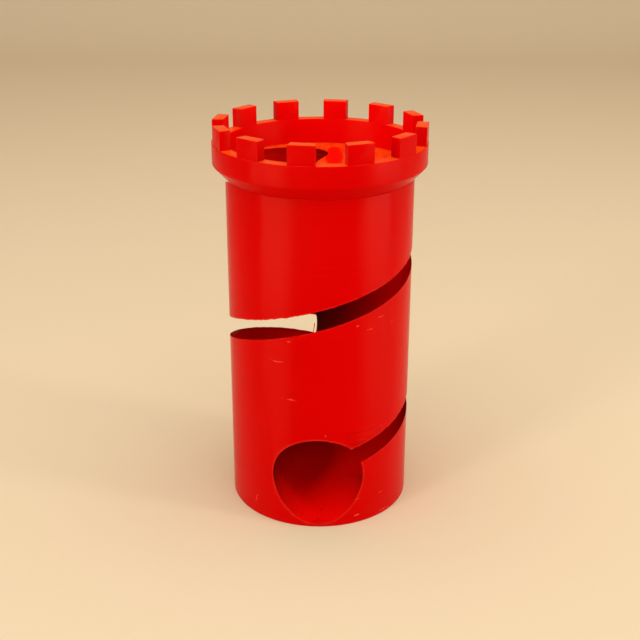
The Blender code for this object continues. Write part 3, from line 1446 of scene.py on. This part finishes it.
    def tunnel_painted_colour(self, sheet: Sheet, surface: Surface) -> Socket:
        """Paint shade and light into the tunnel as the light would fall in: lighter near the wall, on its
        floor, to the right.

        Args:
            sheet: The material's sheet.
            surface: What is known of the point.

        Returns:
            The colour.
        """
        low_down = sheet.span(surface.wall["Height"], *self.mouth_zone)
        near_wall = sheet.span(
            surface.wall["Reach"], *self.light_reach, 0.0, sheet.mix(low_down, *self.wall_light))
        lean = sheet.times(surface.lean, sheet.mix(low_down, *self.lean_light))
        right = sheet.split(surface.place)["X"]
        side = sheet.span(right, *self.side_zone, 0.0, sheet.times(low_down, self.side_light))
        seen = sheet.math("ADD", near_wall, sheet.plus(lean, side), clamp=True)
        # painted shade deep in the tunnel and under its roof, painted light on its floor and near the
        # openings
        return sheet.blend(seen, self.tunnel_painted_shade, self.tunnel_painted_light)

    def gloss(self, sheet: Sheet, shader: bpy.types.Node, surface: Surface) -> None:
        """Set the reflection, and vary the roughness: patchy walls, a rough tunnel and duller marks.

        Args:
            sheet: The material's sheet.
            shader: The shader to feed.
            surface: What is known of the point.
        """
        patchy = sheet.noise(surface.place, *self.gloss_noise)
        wall = sheet.span(patchy, *self.gloss_span, *self.roughness)
        rough = sheet.mix(surface.inside, wall, self.tunnel_roughness)
        rough = sheet.plus(rough, sheet.times(surface.light, self.worn_roughness))
        sheet.feed(shader.inputs["Roughness"], rough)
        sheet.feed(shader.inputs["Specular Tint"], self.tint)
        sheet.feed(shader.inputs["Specular IOR Level"], self.level)

    def relief(self, sheet: Sheet, shader: bpy.types.Node, surface: Surface) -> None:
        """Raise the beads, the tunnel's coarse layers, the sagging ones, the marks and the flecks.

        Args:
            sheet: The material's sheet.
            shader: The shader to feed.
            surface: What is known of the point.
        """
        coarse = sheet.noise(sheet.stretch(surface.place, self.coarse_stretch), *self.coarse_noise)
        height = sheet.plus(
            sheet.mix(surface.up, surface.layers["Bead"], surface.strokes["Bead"]),
            sheet.times(surface.inside, coarse, self.coarse_relief),
            sheet.times(surface.sagged, self.sag_relief),
            sheet.times(surface.marks, self.mark_relief),
            sheet.times(surface.flecks, self.fleck_relief),
        )
        bump = sheet.add("ShaderNodeBump")
        sheet.feed(bump.inputs["Strength"], 1.0)
        sheet.feed(bump.inputs["Distance"], self.bead)
        sheet.feed(bump.inputs["Height"], height)
        sheet.feed(shader.inputs["Normal"], bump.outputs[0])


SHAFT_SCRATCHES = (
    Scratch(-34.9, 59.2, -29.8, 58.8),
    Scratch(-29.8, 58.8, -22.3, 58.95),
    Scratch(-23.9, 46.2, -19.3, 46.0, strength=0.6),
    Scratch(-19.3, 46.0, -13.0, 45.9),
    Scratch(3.5, 34.0, 4.1, 32.5),
    Scratch(27.3, 31.3, 32.4, 31.35, 0.18 * MM, 0.8),
    Scratch(-43.6, 7.1, -45.2, 4.8),
    Scratch(29.6, 9.05, 44.5, 8.7, 0.225 * MM, 0.7),
    Scratch(23.2, 8.8, 29.6, 9.05, 0.225 * MM, 0.5),
    Scratch(43.1, 1.4, 51.3, 0.85, 0.255 * MM),
    Scratch(23.0, 2.7, 26.2, 2.85, 0.255 * MM),
    Scratch(29.4, 69.0, 33.6, 69.1, 0.225 * MM),
    Scratch(38.0, 72.3, 42.1, 72.5, 0.225 * MM),
    Scratch(47.3, 73.7, 48.3, 73.9, 0.255 * MM),
    Scratch(48.6, 69.2, 50.1, 69.3, 0.225 * MM, 0.8),
    Scratch(-19.3, 66.2, -17.7, 66.35, 0.255 * MM),
    Scratch(22.6, 71.2, 23.6, 71.3, 0.285 * MM),
    Scratch(-6.2, 78.6, -5.3, 78.8, 0.285 * MM),
)


@dataclass(frozen=True)
class Lamp:
    """One soft rectangular lamp. A gloss_only lamp shows in reflections and lights no matt surface."""

    name: str
    place: Triple
    width: float
    height: float
    power: float
    aim: Triple = (0.0, 0.0, 0.06)
    colour: Colour = (1.0, 0.97, 0.93)
    gloss_only: bool = False

    def hang(self) -> None:
        """Put the lamp in the scene."""
        data = bpy.data.lights.new(self.name, "AREA")
        data.shape = "RECTANGLE"
        data.size = self.width
        data.size_y = self.height
        data.energy = self.power
        data.color = self.colour
        lamp = bpy.data.objects.new(self.name, data)
        lamp.location = self.place
        lamp.visible_diffuse = not self.gloss_only
        way = Vector(self.aim) - Vector(self.place)
        lamp.rotation_euler = way.to_track_quat("-Z", "Y").to_euler()
        bpy.context.scene.collection.objects.link(lamp)


@dataclass(frozen=True)
class Studio:
    """The plain floor and backdrop, the soft lamps and the camera."""

    lamps: tuple[Lamp, ...] = (
        Lamp("overhead", (0.0, -0.10, 0.80), 0.9, 0.9, 4.6),
        Lamp("front_high", (0.0, -0.75, 0.75), 0.9, 0.5, 0.15),
        Lamp("left_strip", (-0.55, -0.55, 0.26), 0.15, 0.50, 2.1),
        Lamp("right_strip", (0.74, -0.27, 0.26), 0.13, 0.50, 2.3),
        Lamp("left_window", (-0.61, -0.51, 0.27), 0.62, 0.52, 17.0, gloss_only=True),
        Lamp("right_window", (0.77, -0.23, 0.27), 0.58, 0.52, 13.0, gloss_only=True),
        Lamp("right_side", (0.95, 0.10, 0.40), 0.7, 0.7, 0.6),
    )
    room_light: float = 0.66
    room_colour: Colour = (1.0, 0.96, 0.9)
    floor_width: float = 6.0
    floor_depth: float = 2.2
    floor_middle: float = -0.2
    curve_radius: float = 0.35
    curve_steps: int = 12
    backdrop_rise: float = 2.0
    floor_colour: Colour = (0.68, 0.55, 0.37)
    wall_colour: Colour = (0.72, 0.53, 0.33)
    floor_roughness: float = 0.8
    camera_place: Triple = (0.13 * MM, -340.2 * MM, 202.9 * MM)
    camera_pitch: float = math.radians(22.55)
    camera_roll: float = math.radians(0.138)
    camera_lens: float = 61.93
    sensor: float = 36.0
    camera_reach: Pair = (0.01, 50.0)

    def build(self) -> None:
        """Set up the whole studio."""
        self.sweep()
        for lamp in self.lamps:
            lamp.hang()
        self.world()
        self.camera()
        bpy.context.scene.view_settings.view_transform = "Standard"

    def sweep(self) -> None:
        """Build the floor, curving up into the backdrop."""
        Bench.clear()
        bpy.ops.mesh.primitive_plane_add(size=1, location=(0, 0, 0))
        floor = Bench.named("floor")
        floor.data.transform(Matrix.Diagonal((self.floor_width, self.floor_depth, 1.0, 1.0)))
        floor.data.transform(Matrix.Translation((0, self.floor_middle, 0)))
        Bench.pick_edges(floor, lambda first, second: min(first.y, second.y) > 0)
        angles = [math.pi / 2 * step / self.curve_steps for step in range(self.curve_steps + 1)]
        for low, high in zip(angles, angles[1:]):
            back, rise = math.sin(high) - math.sin(low), math.cos(low) - math.cos(high)
            Bench.pull(Vector((0, back, rise)) * self.curve_radius)
        Bench.pull(Vector((0, 0, self.backdrop_rise)))
        bpy.ops.object.mode_set(mode="OBJECT")
        Bench.smooth(floor, FLOOR_SMOOTH)
        floor.data.materials.append(self.floor_finish())

    def floor_finish(self) -> bpy.types.Material:
        """Colour the floor and the backdrop, each running into the other on the curve.

        Returns:
            The matt material.
        """
        material = bpy.data.materials.new("pale_floor")
        material.use_nodes = True
        sheet = Sheet(material.node_tree)
        shader = material.node_tree.nodes["Principled BSDF"]
        height = sheet.split(sheet.add("ShaderNodeTexCoord").outputs["Object"])["Z"]
        share = sheet.span(height, 0.0, self.curve_radius, soft=True)
        sheet.feed(shader.inputs["Base Color"], sheet.blend(share, self.floor_colour, self.wall_colour))
        sheet.feed(shader.inputs["Roughness"], self.floor_roughness)
        sheet.feed(shader.inputs["Specular IOR Level"], 0.0)
        return material

    def world(self) -> None:
        """Set the even light of the room."""
        world = bpy.data.worlds.new("room")
        world.use_nodes = True
        light = world.node_tree.nodes["Background"]
        light.inputs["Color"].default_value = (*self.room_colour, 1.0)
        light.inputs["Strength"].default_value = self.room_light
        bpy.context.scene.world = world

    def camera(self) -> None:
        """Place the camera where the photograph was taken from."""
        data = bpy.data.cameras.new("camera")
        data.sensor_width = self.sensor
        data.lens = self.camera_lens
        data.clip_start, data.clip_end = self.camera_reach
        camera = bpy.data.objects.new("camera", data)
        tilt = Matrix.Rotation(math.pi / 2 - self.camera_pitch, 4, "X")
        roll = Matrix.Rotation(self.camera_roll, 4, "Z")
        camera.matrix_world = Matrix.Translation(self.camera_place) @ tilt @ roll
        bpy.context.scene.collection.objects.link(camera)
        bpy.context.scene.camera = camera


def report(piece: bpy.types.Object) -> None:
    """Say how many triangles a finished piece has."""
    triangles = sum(len(face.vertices) - 2 for face in piece.data.polygons)
    LOG.info("%s: %d triangles", piece.name, triangles)


def main() -> None:
    """Build the studio and both prints, dress them and put them on their bodies."""
    logging.basicConfig(level=logging.INFO, format="%(name)s: %(message)s")
    Studio().build()
    tunnel, pegs = Tunnel(), Pegs()
    helix, mouth = tunnel.helix(), tunnel.mouth()
    effects = SharedEffects(tunnel)
    shaft = Shaft(tunnel, pegs).build(helix, mouth)
    crown = Crown(tunnel, pegs).build(helix)
    Bench.discard([helix, mouth])
    finishes = (
        RedPrint("red_shaft", scratches=SHAFT_SCRATCHES),
        RedPrint("red_crown", tunnel_foot=CROWN_TUNNEL_FOOT),
    )
    nodes = ("tower_body", "battlement_crown")
    for piece, finish, node, body in zip((shaft, crown), finishes, nodes, Body):
        piece.data.materials.clear()
        piece.data.materials.append(finish.make(effects))
        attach(piece, body.value)
        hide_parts(node)
        report(piece)


if __name__ == "__main__":
    main()
